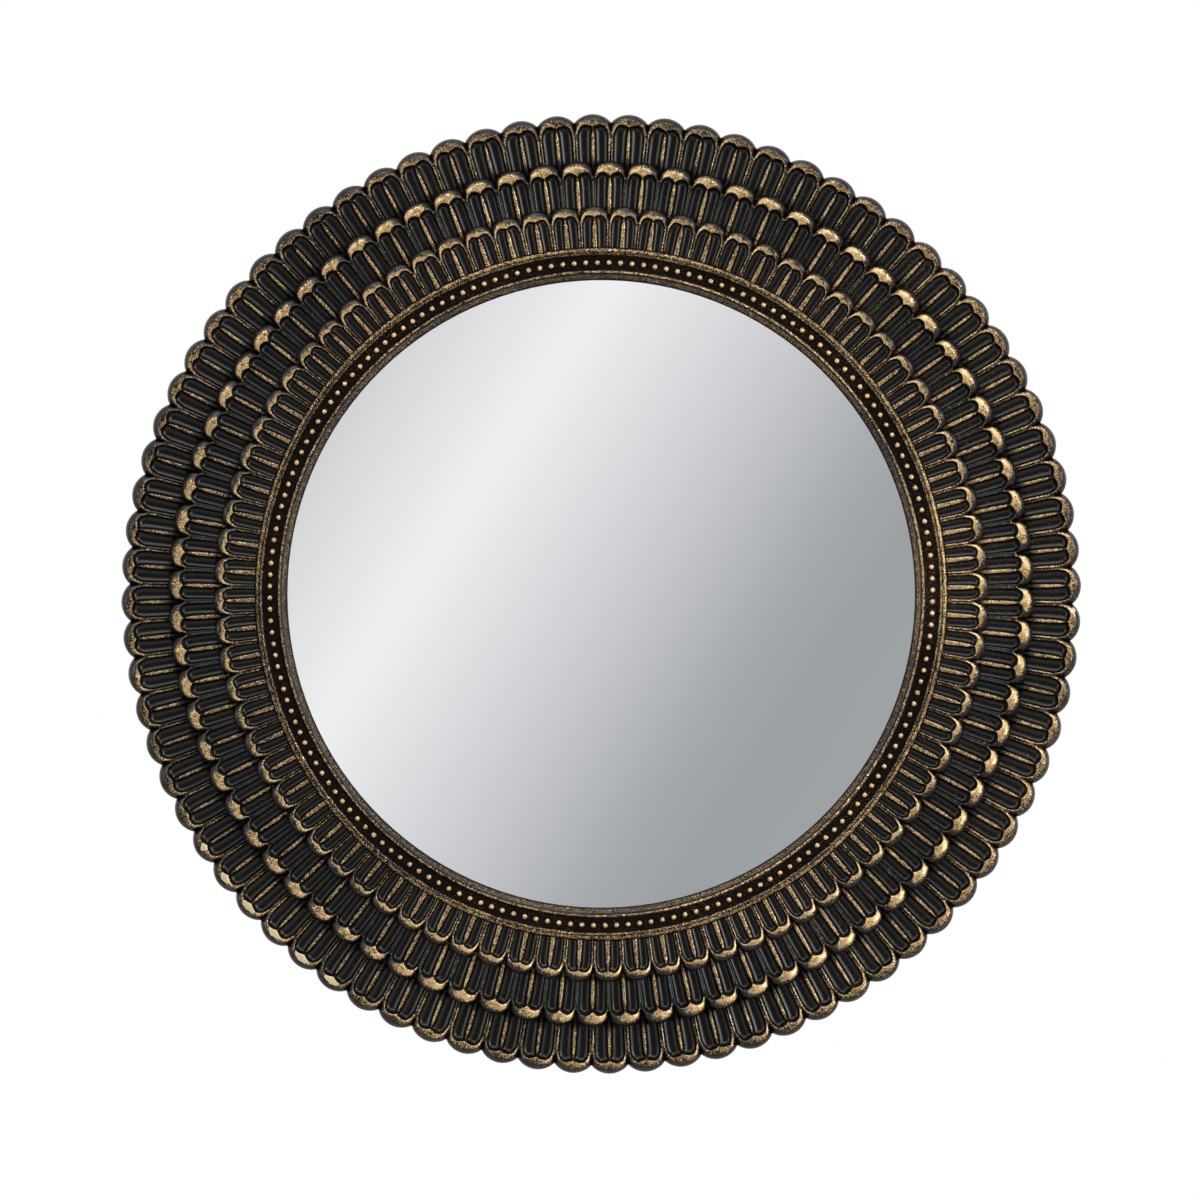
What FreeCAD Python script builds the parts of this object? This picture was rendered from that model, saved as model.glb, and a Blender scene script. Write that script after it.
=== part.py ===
"""Round wall mirror: a silvered glass disc in a wide frame of three overlapping rows of fluted petals.

The mirror hangs in the XZ plane and faces -Y. The origin is on the wall, behind the centre of the glass.
A depth is a distance in front of the wall, so a depth d lies at y = -d. All lengths are in millimetres.
"""
import FreeCAD, Part
import Sketcher
import math
import os

from FreeCAD import Placement, Rotation, Vector

WALL_AXIS = Vector(0, 1, 0)
FRONT_AXIS = Vector(0, -1, 0)
CENTRE = Vector(0, 0, 0)

# Driving sizes
SIZES = {
    # Counts, and turns in degrees, anticlockwise as the mirror is seen from the front
    "petal_count": 80,
    "bead_count": 180,
    "screw_count": 8,
    "petal_turn": 1.04,
    "bead_turn": 0.67,
    "button_turn": 22.5,
    "bumper_count": 4,
    "bumper_turn": 45,
    # Cuts run this far past the surface that they start from
    "overrun": 2.0,
    # Clearances
    "seat_gap": 0.2,
    "slide_gap": 0.1,
    "shank_gap": 0.05,
    # Base ring of fibreboard, which carries all the rest
    "wall_gap": 5.0,
    "base_thickness": 9.0,
    "base_radius": 296.6,
    "base_chamfer": 0.8,
    # Glass and what is packed behind it
    "glass_radius": 203.2,
    "glass_gap": 1.0,
    "glass_thickness": 4.0,
    "glass_bevel": 0.5,
    "gasket_thickness": 0.8,
    "gasket_width": 3.2,
    "pad_thickness": 1.2,
    "board_chamfer": 0.6,
    # Beaded rim round the glass: a cove, a ridge, a channel of beads and a half-round cord
    "sight_radius": 199.4,
    "lip_thickness": 4.0,
    "cove_width": 3.6,
    "cove_hollow": 0.9,
    "ridge_width": 3.2,
    "ridge_rise": 13.3,
    "ridge_crown": 1.2,
    "channel_width": 8.7,
    "channel_depth": 0.8,
    "bead_radius": 1.9,
    "cord_width": 5.2,
    "cord_rise": 1.0,
    "cord_crown": 2.4,
    # Outer row of petals
    "outer_tip_radius": 305.0,
    "outer_step_radius": 297.0,
    "skirt_lift": 1.0,
    "outer_edge_thickness": 8.0,
    "outer_crest_radius": 299.0,
    "outer_head_rise": 7.0,
    "outer_head_bulge": 1.5,
    "outer_rib_radius": 296.0,
    "outer_rib_drop": 1.2,
    "outer_rib_fall": 0.8,
    "outer_dome_drop": 2.4,
    "outer_scallop_depth": 5.8,
    "outer_flute_radius": 4.2,
    "outer_flute_offset": 5.5,
    "outer_flute_head": 294.8,
    "outer_crevice_width": 5.0,
    "outer_crevice_depth": 5.4,
    "outer_crevice_length": 20.0,
    # Middle row of petals
    "middle_tip_radius": 275.3,
    "middle_step_radius": 261.5,
    "middle_edge_thickness": 3.0,
    "middle_crest_radius": 269.0,
    "middle_head_rise": 5.5,
    "middle_head_bulge": 1.5,
    "middle_rib_radius": 265.6,
    "middle_rib_drop": 2.2,
    "middle_rib_fall": 2.0,
    "middle_dome_drop": 4.4,
    "middle_scallop_depth": 7.4,
    "middle_flute_radius": 3.6,
    "middle_flute_offset": 5.1,
    "middle_flute_head": 264.6,
    "middle_crevice_width": 3.0,
    "middle_crevice_depth": 6.0,
    "middle_crevice_length": 12.0,
    # Inner row of petals
    "inner_tip_radius": 246.5,
    "inner_step_radius": 237.5,
    "inner_edge_thickness": 1.8,
    "inner_crest_radius": 242.3,
    "inner_head_rise": 3.6,
    "inner_head_bulge": 1.0,
    "inner_rib_radius": 240.2,
    "inner_rib_drop": 1.2,
    "inner_rib_fall": 1.0,
    "inner_dome_drop": 2.2,
    "inner_scallop_depth": 7.0,
    "inner_flute_radius": 3.1,
    "inner_flute_offset": 4.65,
    "inner_flute_head": 238.6,
    "inner_crevice_width": 2.6,
    "inner_crevice_depth": 4.0,
    "inner_crevice_length": 11.0,
    # The root of a row stands this far from the body of the row inside it
    "root_gap": 0.5,
    # Countersunk screws from behind, through the base ring into the mouldings
    "screw_radius": 1.5,
    "screw_length": 14.0,
    "screw_point": 2.0,
    "screw_head_radius": 3.2,
    "screw_head_height": 1.8,
    "drive_depth": 0.9,
    "drive_length": 3.6,
    "drive_width": 0.8,
    "rim_screw_circle": 212.0,
    "inner_screw_circle": 229.0,
    "middle_screw_circle": 252.0,
    # Turn buttons, which hold the back board in, and the pan-head screws that they turn on
    "button_circle": 213.0,
    "button_length": 20.0,
    "button_half_width": 5.0,
    "button_thickness": 1.0,
    "button_tab_height": 1.4,
    "button_tab_length": 6.0,
    "pan_head_radius": 3.2,
    "pan_head_height": 1.8,
    "pan_head_crown": 0.5,
    "pan_screw_length": 7.0,
    # Hangers: a steel strap with a rolled eye, and a wire ring that swings in it
    "hanger_spread": 150.0,
    "hanger_height": 205.0,
    "strap_length": 42.0,
    "strap_width": 13.0,
    "strap_thickness": 1.0,
    "strap_end_bulge": 3.0,
    "strap_first_screw": 14.0,
    "strap_screw_pitch": 19.0,
    "knuckle_wall": 1.0,
    "ring_wire_radius": 1.1,
    "ring_wire_gap": 0.06,
    "ring_half_width": 11.0,
    "ring_corner_radius": 3.0,
    "ring_leg_height": 8.0,
    # Rubber bumpers against the wall
    "bumper_circle": 282.0,
    "bumper_radius": 6.0,
    "bumper_face_radius": 4.6,
}

# Sizes worked out from the driving ones
PLACES = {
    "pitch": "360 / sizes.petal_count",
    "screw_pitch": "360 / sizes.screw_count",
    "bumper_pitch": "360 / sizes.bumper_count",
    "base_front": "sizes.wall_gap + sizes.base_thickness",
    "bore_radius": "sizes.glass_radius + sizes.glass_gap",
    "gasket_back": "base_front - sizes.gasket_thickness",
    "gasket_inner": "sizes.glass_radius - sizes.gasket_width",
    "glass_back": "gasket_back - sizes.glass_thickness",
    "pad_back": "glass_back - sizes.pad_thickness",
    # Beaded rim, from the glass outwards
    "lip_front": "base_front + sizes.lip_thickness",
    "ridge_inner": "sizes.sight_radius + sizes.cove_width",
    "ridge_foot": "base_front + sizes.ridge_rise",
    "channel_inner": "ridge_inner + sizes.ridge_width",
    "channel_outer": "channel_inner + sizes.channel_width",
    "channel_floor": "ridge_foot - sizes.channel_depth",
    "bead_circle": "channel_inner + sizes.channel_width / 2",
    "cord_foot": "channel_floor + sizes.cord_rise",
    "rim_radius": "channel_outer + sizes.cord_width",
    # Where the rows of petals seat
    "outer_root_radius": "sizes.middle_step_radius + sizes.root_gap",
    "outer_under": "sizes.wall_gap + sizes.skirt_lift",
    "middle_root_radius": "sizes.inner_step_radius + sizes.root_gap",
    "middle_under": "outer_rib + sizes.seat_gap - sizes.outer_rib_fall"
                    " * (sizes.outer_rib_radius - sizes.middle_tip_radius)"
                    " / (sizes.outer_rib_radius - outer_root_radius)",
    "inner_root_radius": "rim_radius + sizes.seat_gap",
    "inner_under": "middle_rib + sizes.seat_gap - sizes.middle_rib_fall"
                   " * (sizes.middle_rib_radius - sizes.inner_tip_radius)"
                   " / (sizes.middle_rib_radius - middle_root_radius)",
    "middle_turn": "sizes.petal_turn - pitch / 2",
    # Countersunk screws
    "clear_radius": "sizes.screw_radius + sizes.shank_gap",
    "head_foot": "sizes.wall_gap + sizes.screw_head_height",
    "screw_tip": "sizes.wall_gap + sizes.screw_length",
    "screw_taper": "screw_tip - sizes.screw_point",
    "sink_radius": "sizes.screw_head_radius + sizes.shank_gap",
    "sink_foot": "head_foot + sizes.shank_gap",
    "pilot_end": "screw_tip + sizes.shank_gap",
    "drive_cut": "sizes.drive_depth + sizes.overrun",
    # Turn buttons, and the pan-head screws
    "button_front": "sizes.wall_gap - sizes.slide_gap",
    "button_back": "button_front - sizes.button_thickness",
    "button_middle": "sizes.button_circle - sizes.button_length / 2",
    "button_end": "sizes.button_circle - sizes.button_length + sizes.button_half_width",
    "button_tab_side": "sizes.button_half_width - sizes.button_thickness",
    "button_seat": "button_back - sizes.slide_gap",
    "button_cut": "sizes.slide_gap + sizes.button_thickness + sizes.overrun",
    "pan_bulge": "sizes.pan_head_crown * (1 - sqrt(0.5))",
    "strap_back": "sizes.wall_gap - sizes.strap_thickness",
    "pan_tip": "sizes.wall_gap + sizes.pan_screw_length",
    "pan_taper": "pan_tip - sizes.screw_point",
    "pan_pilot_end": "pan_tip + sizes.shank_gap",
    # Hangers
    "knuckle_bore": "sizes.ring_wire_radius + sizes.ring_wire_gap",
    "knuckle_radius": "knuckle_bore + sizes.knuckle_wall",
    "hinge_depth": "sizes.wall_gap - sizes.slide_gap - knuckle_radius",
    "strap_foot": "sizes.hanger_height - sizes.strap_length",
    "high_screw": "sizes.hanger_height - sizes.strap_first_screw",
    "low_screw": "high_screw - sizes.strap_screw_pitch",
    "ring_foot": "sizes.ring_half_width - sizes.ring_corner_radius",
    "ring_corner": "sizes.hanger_height + sizes.ring_corner_radius",
    "ring_shoulder": "sizes.hanger_height + sizes.ring_leg_height",
    "corner_bulge": "sizes.ring_corner_radius * (1 - sqrt(0.5))",
}

# Sizes that every row of petals has
ROW_PLACES = {
    "edge_top": "{row}_under + sizes.{row}_edge_thickness",
    "crest": "{row}_edge_top + sizes.{row}_head_rise",
    "rib": "{row}_crest - sizes.{row}_rib_drop",
    "root": "{row}_rib - sizes.{row}_rib_fall",
    "cut_radius": "sizes.{row}_tip_radius + sizes.overrun",
    "cut_front": "{row}_crest + sizes.overrun",
    "half_width": "sizes.{row}_tip_radius * tan(pitch / 2)",
    "scallop_foot": "sizes.{row}_tip_radius - sizes.{row}_scallop_depth",
    "dome_foot": "{row}_crest - sizes.{row}_dome_drop",
    "flute_top": "sizes.{row}_flute_head + sizes.{row}_flute_radius",
    "flute_floor": "{row}_rib - sizes.{row}_flute_radius",
    "flute_end": "{row}_root_radius - sizes.overrun",
    "flute_bulge": "sizes.{row}_flute_radius * (1 - sqrt(0.5))",
    "dome_length": "{row}_cut_radius - {row}_flute_end",
    "crevice_end": "sizes.{row}_tip_radius - sizes.{row}_crevice_length",
    "crevice_side": "{row}_cut_radius * tan(pitch / 2)",
    "crevice_cut": "sizes.overrun + sizes.{row}_crevice_depth",
}
ROWS = ("outer", "middle", "inner")
SIDES = (("left", "-"), ("right", ""))
LEVELS = ("high", "low")

doc = FreeCAD.newDocument("wall_mirror")
nodes = []


def fill_sheet(name, cells):
    """Make a sheet of named cells."""
    sheet = doc.addObject("Spreadsheet::Sheet", name)
    for row, alias in enumerate(cells, start=1):
        sheet.set(f"A{row}", alias)
        sheet.setAlias(f"B{row}", alias)
    for row, content in enumerate(cells.values(), start=1):
        sheet.set(f"B{row}", str(content))
    return sheet


def make_sheets():
    """Put the driving sizes in one sheet and the sizes that follow from them in another."""
    sizes = fill_sheet("sizes", SIZES)
    formulas = dict(PLACES)
    for row in ROWS:
        for name, formula in ROW_PLACES.items():
            formulas[f"{row}_{name}"] = formula.format(row=row)
    places = fill_sheet("places", {name: f"={formula}" for name, formula in formulas.items()})
    doc.recompute()
    return sizes, places


sizes, places = make_sheets()


def new_body(name, turn=None):
    """Start a body that is turned about the mirror's axis."""
    body = doc.addObject("PartDesign::Body", name)
    body.Label = name
    if turn:
        body.Placement = Placement(CENTRE, Rotation(FRONT_AXIS, 0))
        body.setExpression("Placement.Rotation.Angle", turn)
    nodes.append(body)
    return body


def origin_part(body, role):
    """Find one of a body's own planes or axes."""
    return next(part for part in body.Origin.OriginFeatures if part.Role == role)


def new_sketch(body, role, name, offset=None, turn=None):
    """Attach a sketch to a plane of its body, moved along the plane's normal or turned about the sketch's y."""
    sketch = body.newObject("Sketcher::SketchObject", f"{body.Name}_{name}")
    sketch.AttachmentSupport = [(origin_part(body, role), "")]
    sketch.MapMode = "FlatFace"
    if offset:
        sketch.setExpression("AttachmentOffset.Base.z", offset)
    if turn:
        sketch.AttachmentOffset = Placement(CENTRE, Rotation(WALL_AXIS, 0))
        sketch.setExpression("AttachmentOffset.Rotation.Angle", turn)
    doc.recompute()
    return sketch


def tie(sketch, constraint, expression):
    """Add a constraint whose value follows an expression."""
    index = sketch.addConstraint(constraint)
    sketch.setExpression(f"Constraints[{index}]", expression)


def pin(sketch, edge, end, across, up):
    """Tie a point of a sketch to its two coordinates."""
    for kind, axis, expression in (("DistanceX", -2, across), ("DistanceY", -1, up)):
        if expression == "0":
            sketch.addConstraint(Sketcher.Constraint("PointOnObject", edge, end, axis))
        else:
            value = float(sketch.evalExpression(expression))
            tie(sketch, Sketcher.Constraint(kind, edge, end, value), expression)


def hold_arc(sketch, edge, start, finish):
    """Tie the centre of an arc, along the line that halves its chord."""
    wide = f"({finish[0]} - ({start[0]}))"
    tall = f"({finish[1]} - ({start[1]}))"
    chord = f"sqrt({wide}^2 + {tall}^2)"
    shift = f"(({start[2]}) / 2 - {chord}^2 / (8 * ({start[2]}))) / {chord}"
    if abs(sketch.evalExpression(tall)) > abs(sketch.evalExpression(wide)):
        kind, centre = "DistanceX", f"({finish[0]} + {start[0]}) / 2 + {tall} * {shift}"
    else:
        kind, centre = "DistanceY", f"({finish[1]} + {start[1]}) / 2 - {wide} * {shift}"
    tie(sketch, Sketcher.Constraint(kind, edge, 3, float(sketch.evalExpression(centre))), centre)


def draw(sketch, corners):
    """Draw a closed outline and tie it to the sheets.

    A corner is a pair of expressions. A third one makes an arc of the edge that leaves the corner:
    it is how far the arc swells to the right of that edge.
    """
    points = [Vector(*(float(sketch.evalExpression(term)) for term in corner[:2]), 0) for corner in corners]
    first = sketch.GeometryCount
    ends = []
    for index, corner in enumerate(corners):
        start = points[index]
        finish = points[(index + 1) % len(points)]
        if len(corner) == 2:
            sketch.addGeometry(Part.LineSegment(start, finish), False)
            ends.append((1, 2))
            continue
        bulge = float(sketch.evalExpression(corner[2]))
        along = finish - start
        aside = Vector(along.y, -along.x, 0).normalize()
        edge = sketch.addGeometry(Part.Arc(start, start + along / 2 + aside * bulge, finish), False)
        forward = sketch.getPoint(edge, 1).distanceToPoint(start) < sketch.getPoint(edge, 2).distanceToPoint(start)
        ends.append((1, 2) if forward else (2, 1))
    for index, corner in enumerate(corners):
        edge = first + index
        after = (index + 1) % len(corners)
        pin(sketch, edge, ends[index][0], *corner[:2])
        sketch.addConstraint(Sketcher.Constraint("Coincident", edge, ends[index][1], first + after, ends[after][0]))
        if len(corner) == 3:
            hold_arc(sketch, edge, corner, corners[after])
    doc.recompute()


def draw_axis(sketch, start, finish):
    """Draw a construction line to turn an outline about."""
    points = [Vector(*(float(sketch.evalExpression(term)) for term in end), 0) for end in (start, finish)]
    edge = sketch.addGeometry(Part.LineSegment(*points), True)
    pin(sketch, edge, 1, *start)
    pin(sketch, edge, 2, *finish)
    doc.recompute()


def draw_circle(sketch, across, up, radius):
    """Draw a circle tied to its centre and radius."""
    centre = Vector(float(sketch.evalExpression(across)), float(sketch.evalExpression(up)), 0)
    value = float(sketch.evalExpression(radius))
    edge = sketch.addGeometry(Part.Circle(centre, Vector(0, 0, 1), value), False)
    tie(sketch, Sketcher.Constraint("Radius", edge, value), radius)
    pin(sketch, edge, 3, across, up)
    doc.recompute()


def section(sketch, corners):
    """Draw a closed outline from pairs of radius and depth. Depth runs against the sketch's y."""
    draw(sketch, [(corner[0], f"-({corner[1]})", *corner[2:]) for corner in corners])


def turned(body, kind, name, sketch, axis="V_Axis"):
    """Add or cut a full turn of a profile about an axis of its sketch."""
    made = body.newObject(f"PartDesign::{kind}", f"{body.Name}_{name}")
    made.Profile = sketch
    made.ReferenceAxis = (sketch, [axis])
    made.Angle = 360
    doc.recompute()
    return made


def straight(body, kind, name, sketch, length, reverse=False):
    """Add or cut a straight run of a profile."""
    made = body.newObject(f"PartDesign::{kind}", f"{body.Name}_{name}")
    made.Profile = sketch
    made.Reversed = reverse
    made.setExpression("Length", length)
    doc.recompute()
    return made


def repeat(body, originals, count):
    """Repeat features evenly round the mirror's axis."""
    pattern = body.newObject("PartDesign::PolarPattern", f"{originals[0].Name}s")
    pattern.Originals = originals
    pattern.Axis = (origin_part(body, "Y_Axis"), [""])
    pattern.Angle = 360
    pattern.setExpression("Occurrences", count)
    body.Tip = pattern
    doc.recompute()
    return pattern


def ring(name, inner, outer, back, front):
    """Make a plain flat ring or, with an inner radius of zero, a disc."""
    body = new_body(name)
    sketch = new_sketch(body, "XY_Plane", "section")
    section(sketch, [(inner, back), (outer, back), (outer, front), (inner, front)])
    turned(body, "Revolution", "blank", sketch)
    return body


def bore(body, name, circle, corners, across=None, turn=None):
    """Cut a turned hole at a point, from pairs of radius about its own axis and depth."""
    sketch = new_sketch(body, "XY_Plane", name, offset=across, turn=turn)
    section(sketch, [(f"{circle} + {corner[0]}", *corner[1:]) for corner in corners])
    draw_axis(sketch, (circle, "0"), (circle, "-(places.base_front)"))
    return turned(body, "Groove", f"{name}_cut", sketch, "Axis0")


def petal_cell(row):
    """Make one petal of a row along +X, as wide as the pitch.

    It is a turned section with a dome across its width and a scalloped tip. Two round-ended flutes leave
    a rib between them, and a crevice on each side parts its head from the next one.
    """
    body = doc.addObject("PartDesign::Body", f"{row}_petal")
    outline = new_sketch(body, "XY_Plane", "section")
    section(outline, [
        (f"places.{row}_root_radius", "places.base_front"),
        (f"sizes.{row}_step_radius", "places.base_front"),
        (f"sizes.{row}_step_radius", f"places.{row}_under"),
        (f"sizes.{row}_tip_radius", f"places.{row}_under"),
        (f"sizes.{row}_tip_radius", f"places.{row}_edge_top", f"-sizes.{row}_head_bulge"),
        (f"sizes.{row}_crest_radius", f"places.{row}_crest"),
        (f"sizes.{row}_rib_radius", f"places.{row}_rib"),
        (f"places.{row}_root_radius", f"places.{row}_root"),
    ])
    blank = turned(body, "Revolution", "blank", outline)
    blank.Midplane = True
    blank.setExpression("Angle", "places.pitch")

    dome = new_sketch(body, "YZ_Plane", "dome", offset=f"places.{row}_cut_radius")
    draw(dome, [
        (f"-places.{row}_dome_foot", f"-places.{row}_half_width", f"-sizes.{row}_dome_drop"),
        (f"-places.{row}_dome_foot", f"places.{row}_half_width"),
        (f"-places.{row}_cut_front", f"places.{row}_half_width"),
        (f"-places.{row}_cut_front", f"-places.{row}_half_width"),
    ])
    straight(body, "Pocket", "dome_cut", dome, f"places.{row}_dome_length")

    scallop = new_sketch(body, "XZ_Plane", "scallop", offset=f"places.{row}_cut_front")
    draw(scallop, [
        (f"places.{row}_scallop_foot", f"-places.{row}_half_width", f"sizes.{row}_scallop_depth"),
        (f"places.{row}_scallop_foot", f"places.{row}_half_width"),
        (f"places.{row}_cut_radius", f"places.{row}_half_width"),
        (f"places.{row}_cut_radius", f"-places.{row}_half_width"),
    ])
    straight(body, "Pocket", "scallop_cut", scallop, f"places.{row}_cut_front")

    for side, sign in (("left", ""), ("right", "-")):
        flute = new_sketch(body, "XY_Plane", f"{side}_flute", offset=f"{sign}sizes.{row}_flute_offset")
        section(flute, [
            (f"places.{row}_flute_top", f"places.{row}_rib", f"places.{row}_flute_bulge"),
            (f"sizes.{row}_flute_head", f"places.{row}_flute_floor"),
            (f"places.{row}_flute_end", f"places.{row}_flute_floor"),
            (f"places.{row}_flute_end", f"places.{row}_rib"),
        ])
        draw_axis(flute, (f"places.{row}_flute_end", f"-places.{row}_rib"),
                  (f"places.{row}_flute_top", f"-places.{row}_rib"))
        turned(body, "Groove", f"{side}_flute_cut", flute, "Axis0")

        crevice = new_sketch(body, "XZ_Plane", f"{side}_crevice", offset=f"places.{row}_cut_front")
        draw(crevice, [
            (f"places.{row}_crevice_end", f"{sign}places.{row}_crevice_end * tan(places.pitch / 2)"),
            (f"places.{row}_cut_radius", f"{sign}(places.{row}_crevice_side - sizes.{row}_crevice_width / 2)"),
            (f"places.{row}_cut_radius", f"{sign}(places.{row}_crevice_side + sizes.{row}_crevice_width / 2)"),
        ])
        straight(body, "Pocket", f"{side}_crevice_cut", crevice, f"places.{row}_crevice_cut")
    return body


def joined(shapes):
    """Fuse shapes into one solid."""
    return shapes[0].multiFuse(shapes[1:]).Solids[0]


def round_the_axis(shape, count, pitch):
    """Copy a shape round the mirror's axis, starting with itself."""
    copies = []
    for index in range(count):
        copy = shape.copy()
        copy.rotate(CENTRE, FRONT_AXIS, index * pitch)
        copies.append(copy)
    return copies


def pilot_holes(circle, turn):
    """Make the cutters for the screws that enter a row of petals from behind."""
    start = places.base_front - sizes.overrun
    hole = Part.makeCylinder(places.clear_radius, places.pilot_end - start, Vector(circle, -start, 0), FRONT_AXIS)
    hole.rotate(CENTRE, FRONT_AXIS, -turn)
    return Part.makeCompound(round_the_axis(hole, sizes.screw_count, places.screw_pitch))


def petal_ring(row, turn, screw_circle=None):
    """Join a row of petals into one ring, from wedges that each take the same screw holes."""
    wedge_count = math.gcd(sizes.petal_count, sizes.screw_count)
    petals = round_the_axis(petal_cell(row).Shape, sizes.petal_count // wedge_count, places.pitch)
    wedge = joined(petals)
    if screw_circle:
        wedge = wedge.cut(pilot_holes(screw_circle, turn)).Solids[0]
    node = doc.addObject("Part::Feature", f"{row}_petal_ring")
    node.Label = f"{row}_petal_ring"
    node.Shape = joined(round_the_axis(wedge, wedge_count, 360 / wedge_count))
    node.Placement = Placement(CENTRE, Rotation(FRONT_AXIS, turn))
    nodes.append(node)


def beaded_rim():
    """Make the rim that laps the glass: lip, cove, ridge, channel, cord and a ring of beads."""
    body = new_body("beaded_rim")
    outline = new_sketch(body, "XY_Plane", "section")
    section(outline, [
        ("sizes.sight_radius", "places.base_front"),
        ("places.rim_radius", "places.base_front"),
        ("places.rim_radius", "places.cord_foot", "-sizes.cord_crown"),
        ("places.channel_outer", "places.cord_foot"),
        ("places.channel_outer", "places.channel_floor"),
        ("places.channel_inner", "places.channel_floor"),
        ("places.channel_inner", "places.ridge_foot", "-sizes.ridge_crown"),
        ("places.ridge_inner", "places.ridge_foot", "sizes.cove_hollow"),
        ("sizes.sight_radius", "places.lip_front"),
    ])
    turned(body, "Revolution", "blank", outline)
    pilot = bore(body, "pilot", "sizes.rim_screw_circle", [
        ("0", "places.base_front - sizes.overrun"),
        ("places.clear_radius", "places.base_front - sizes.overrun"),
        ("places.clear_radius", "places.pilot_end"),
        ("0", "places.pilot_end"),
    ])
    repeat(body, [pilot], "sizes.screw_count")
    half = new_sketch(body, "XY_Plane", "bead", turn="-sizes.bead_turn")
    section(half, [
        ("places.bead_circle", "places.channel_floor + sizes.bead_radius", "-sizes.bead_radius"),
        ("places.bead_circle", "places.channel_floor - sizes.bead_radius"),
    ])
    draw_axis(half, ("places.bead_circle", "-places.channel_floor"), ("places.bead_circle", "0"))
    bead = turned(body, "Revolution", "ball", half, "Axis0")
    repeat(body, [bead], "sizes.bead_count")


def base_ring():
    """Make the fibreboard ring behind the mouldings, with countersunk and pilot holes from the back."""
    body = new_body("base_ring")
    outline = new_sketch(body, "XY_Plane", "section")
    section(outline, [
        ("places.bore_radius", "sizes.wall_gap"),
        ("sizes.base_radius - sizes.base_chamfer", "sizes.wall_gap"),
        ("sizes.base_radius", "sizes.wall_gap + sizes.base_chamfer"),
        ("sizes.base_radius", "places.base_front"),
        ("places.bore_radius", "places.base_front"),
    ])
    turned(body, "Revolution", "blank", outline)
    for name in ("rim", "inner", "middle"):
        sink = bore(body, f"{name}_screw", f"sizes.{name}_screw_circle", [
            ("0", "sizes.wall_gap - sizes.overrun"),
            ("places.sink_radius", "sizes.wall_gap - sizes.overrun"),
            ("places.sink_radius", "sizes.wall_gap"),
            ("places.clear_radius", "places.sink_foot"),
            ("places.clear_radius", "places.base_front + sizes.overrun"),
            ("0", "places.base_front + sizes.overrun"),
        ])
        repeat(body, [sink], "sizes.screw_count")
    pilot = [
        ("0", "sizes.wall_gap - sizes.overrun"),
        ("places.clear_radius", "sizes.wall_gap - sizes.overrun"),
        ("places.clear_radius", "places.pan_pilot_end"),
        ("0", "places.pan_pilot_end"),
    ]
    button = bore(body, "button_pilot", "sizes.button_circle", pilot, turn="-sizes.button_turn")
    repeat(body, [button], "sizes.screw_count")
    for side, sign in SIDES:
        for level in LEVELS:
            bore(body, f"{side}_{level}", f"{sign}sizes.hanger_spread", pilot, across=f"places.{level}_screw")


def glass_and_packing():
    """Make the glass, the gasket in front of it, and the pad and board behind it."""
    body = new_body("mirror_glass")
    outline = new_sketch(body, "XY_Plane", "section")
    section(outline, [
        ("0", "places.glass_back"),
        ("sizes.glass_radius", "places.glass_back"),
        ("sizes.glass_radius", "places.gasket_back - sizes.glass_bevel"),
        ("sizes.glass_radius - sizes.glass_bevel", "places.gasket_back"),
        ("0", "places.gasket_back"),
    ])
    turned(body, "Revolution", "blank", outline)
    ring("glass_gasket", "places.gasket_inner", "sizes.glass_radius", "places.gasket_back", "places.base_front")
    ring("backing_pad", "0", "sizes.glass_radius", "places.pad_back", "places.glass_back")
    board = new_body("back_board")
    outline = new_sketch(board, "XY_Plane", "section")
    section(outline, [
        ("0", "sizes.wall_gap"),
        ("sizes.glass_radius - sizes.board_chamfer", "sizes.wall_gap"),
        ("sizes.glass_radius", "sizes.wall_gap + sizes.board_chamfer"),
        ("sizes.glass_radius", "places.pad_back"),
        ("0", "places.pad_back"),
    ])
    turned(board, "Revolution", "blank", outline)


def drive_cross(body, name, circle, across, top):
    """Cut a cross recess in a screw head whose top lies at a depth."""
    cross = new_sketch(body, "XZ_Plane", f"{name}_cross", offset=f"{top} + sizes.drive_depth")
    long = "sizes.drive_length / 2"
    wide = "sizes.drive_width / 2"
    corners = [
        (long, wide), (wide, wide), (wide, long),
        (f"-{wide}", long), (f"-{wide}", wide), (f"-{long}", wide),
        (f"-{long}", f"-{wide}"), (f"-{wide}", f"-{wide}"), (f"-{wide}", f"-{long}"),
        (wide, f"-{long}"), (wide, f"-{wide}"), (long, f"-{wide}"),
    ]
    draw(cross, [(f"{circle} + {x}", f"{across} + {z}") for x, z in corners])
    return straight(body, "Pocket", f"{name}_drive", cross, "places.drive_cut")


def screw(body, name, circle, across, corners, top):
    """Add a screw that stands along the mirror's axis, from pairs of radius about its own axis and depth."""
    half = new_sketch(body, "XY_Plane", f"{name}_section", offset=across)
    section(half, [(f"{circle} + {corner[0]}", *corner[1:]) for corner in corners])
    draw_axis(half, (circle, "0"), (circle, "-places.base_front"))
    shank = turned(body, "Revolution", name, half, "Axis0")
    return [shank, drive_cross(body, name, circle, across, top)]


def countersunk_screws(name, circle):
    """Make a ring of countersunk screws, flush with the back of the base ring."""
    body = new_body(name)
    body.AllowCompound = True
    parts = screw(body, "screw", circle, "0", [
        ("0", "sizes.wall_gap"),
        ("sizes.screw_head_radius", "sizes.wall_gap"),
        ("sizes.screw_radius", "places.head_foot"),
        ("sizes.screw_radius", "places.screw_taper"),
        ("0", "places.screw_tip"),
    ], "sizes.wall_gap")
    repeat(body, parts, "sizes.screw_count")


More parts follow.
